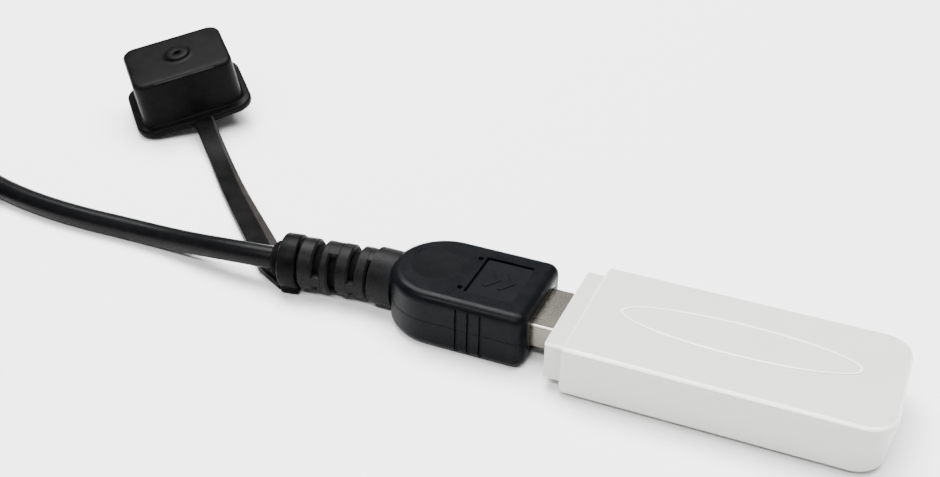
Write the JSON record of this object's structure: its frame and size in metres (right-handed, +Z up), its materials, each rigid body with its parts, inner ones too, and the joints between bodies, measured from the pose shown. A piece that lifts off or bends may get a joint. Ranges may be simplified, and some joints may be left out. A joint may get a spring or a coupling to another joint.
{
  "type": "usb microcontroller programmer",
  "caption": "White stick programmer with a USB plug in the socket end of a black extension cable that has a slotted strain relief, a tethered dust cap and a coiled lead with its host plug.",
  "frame": {"origin": "middle of the flat underside of the socket housing, which lies on the table", "axes": "+X along the plug axis from the cable to the stick's closed end, +Z up from the table, +Y towards the side where the dust cap lies"},
  "size_m": [0.2356, 0.1225, 0.0183],
  "materials": {
    "stick_white": "satin moulded, faintly warm white",
    "carrier_white": "fine matte, slightly greyer than the sleeve",
    "board_green": "solder mask over glass fibre",
    "nickel": "nickel plate with faint drawing lines",
    "gold": "flash gold plate",
    "tin": "bright tin plate",
    "can_steel": "drawn steel can",
    "insulator_white": "moulded nylon",
    "insulator_black": "moulded nylon",
    "chip_black": "filled epoxy",
    "led_clear": "clear lens",
    "ceramic_tan": "fired ceramic",
    "resistor_black": "glazed ceramic",
    "housing_black": "satin black PVC with fine grain",
    "boot_rubber": "matte black with dust speckle",
    "tether_rubber": "matte black with dust speckle",
    "cable_pvc": "satin black PVC",
    "premold_grey": "translucent grey polyethylene",
    "wire_red": "PVC insulation",
    "wire_white": "PVC insulation",
    "wire_green": "PVC insulation",
    "wire_black": "PVC insulation",
    "tie_fabric": "woven hook-and-loop tape"
  },
  "bodies": {
    "socket": {"cable_coil": "cable_pvc", "cable_jacket": "cable_pvc", "cable_tail": "cable_pvc", "coil_tie": "tie_fabric", "conductor_data_minus": "wire_white", "conductor_data_plus": "wire_green", "conductor_ground": "wire_black", "conductor_power": "wire_red", "crimp_ferrule": "tin", "host_plug_contacts": "gold", "host_plug_insulator": "insulator_white", "host_plug_overmold": "housing_black", "host_plug_shell": "nickel", "host_plug_strain_relief": "boot_rubber", "inner_mold": "premold_grey", "receptacle_contacts": "gold", "receptacle_insulator": "insulator_black", "receptacle_shell": "nickel", "socket_overmold": "housing_black", "strain_relief": "boot_rubber"},
    "programmer": {"capacitors": "ceramic_tan", "carrier_bottom": "carrier_white", "carrier_top": "carrier_white", "crystal": "can_steel", "main_board": "board_green", "memory_chip": "chip_black", "memory_chip_leads": "tin", "microcontroller": "chip_black", "microcontroller_leads": "tin", "plug_contacts": "gold", "plug_insulator": "insulator_white", "plug_shell": "nickel", "resistors": "resistor_black", "status_led": "led_clear", "stick_sleeve": "stick_white", "voltage_regulator": "chip_black", "voltage_regulator_leads": "tin"},
    "ring": {"tether_ring": "tether_rubber"},
    "strap": {"tether_strap": "tether_rubber"},
    "cap": {"dust_cap": "tether_rubber"}
  },
  "joints": [
    {"name": "programmer_slide", "type": "slide", "parent": "socket", "child": "programmer", "axis": [1, 0, 0], "range_m": [-0.0042, 0.012]},
    {"name": "ring_swivel", "type": "hinge", "parent": "socket", "child": "ring", "pos_m": [-0.03255, -0.0022, 0.00527], "axis": [0.9871, 0.1598, 0.0047], "range_deg": [0, 90]},
    {"name": "strap_flex", "type": "hinge", "parent": "ring", "child": "strap", "pos_m": [-0.0415, 0.0034, 0.00085], "axis": [0.7075, 0.7067, 0], "range_deg": [0, 60]},
    {"name": "cap_flex", "type": "hinge", "parent": "strap", "child": "cap", "pos_m": [-0.07767, 0.03961, 0.00326], "axis": [0.7252, 0.6633, 0.1846], "range_deg": [0, 60]}
  ]
}
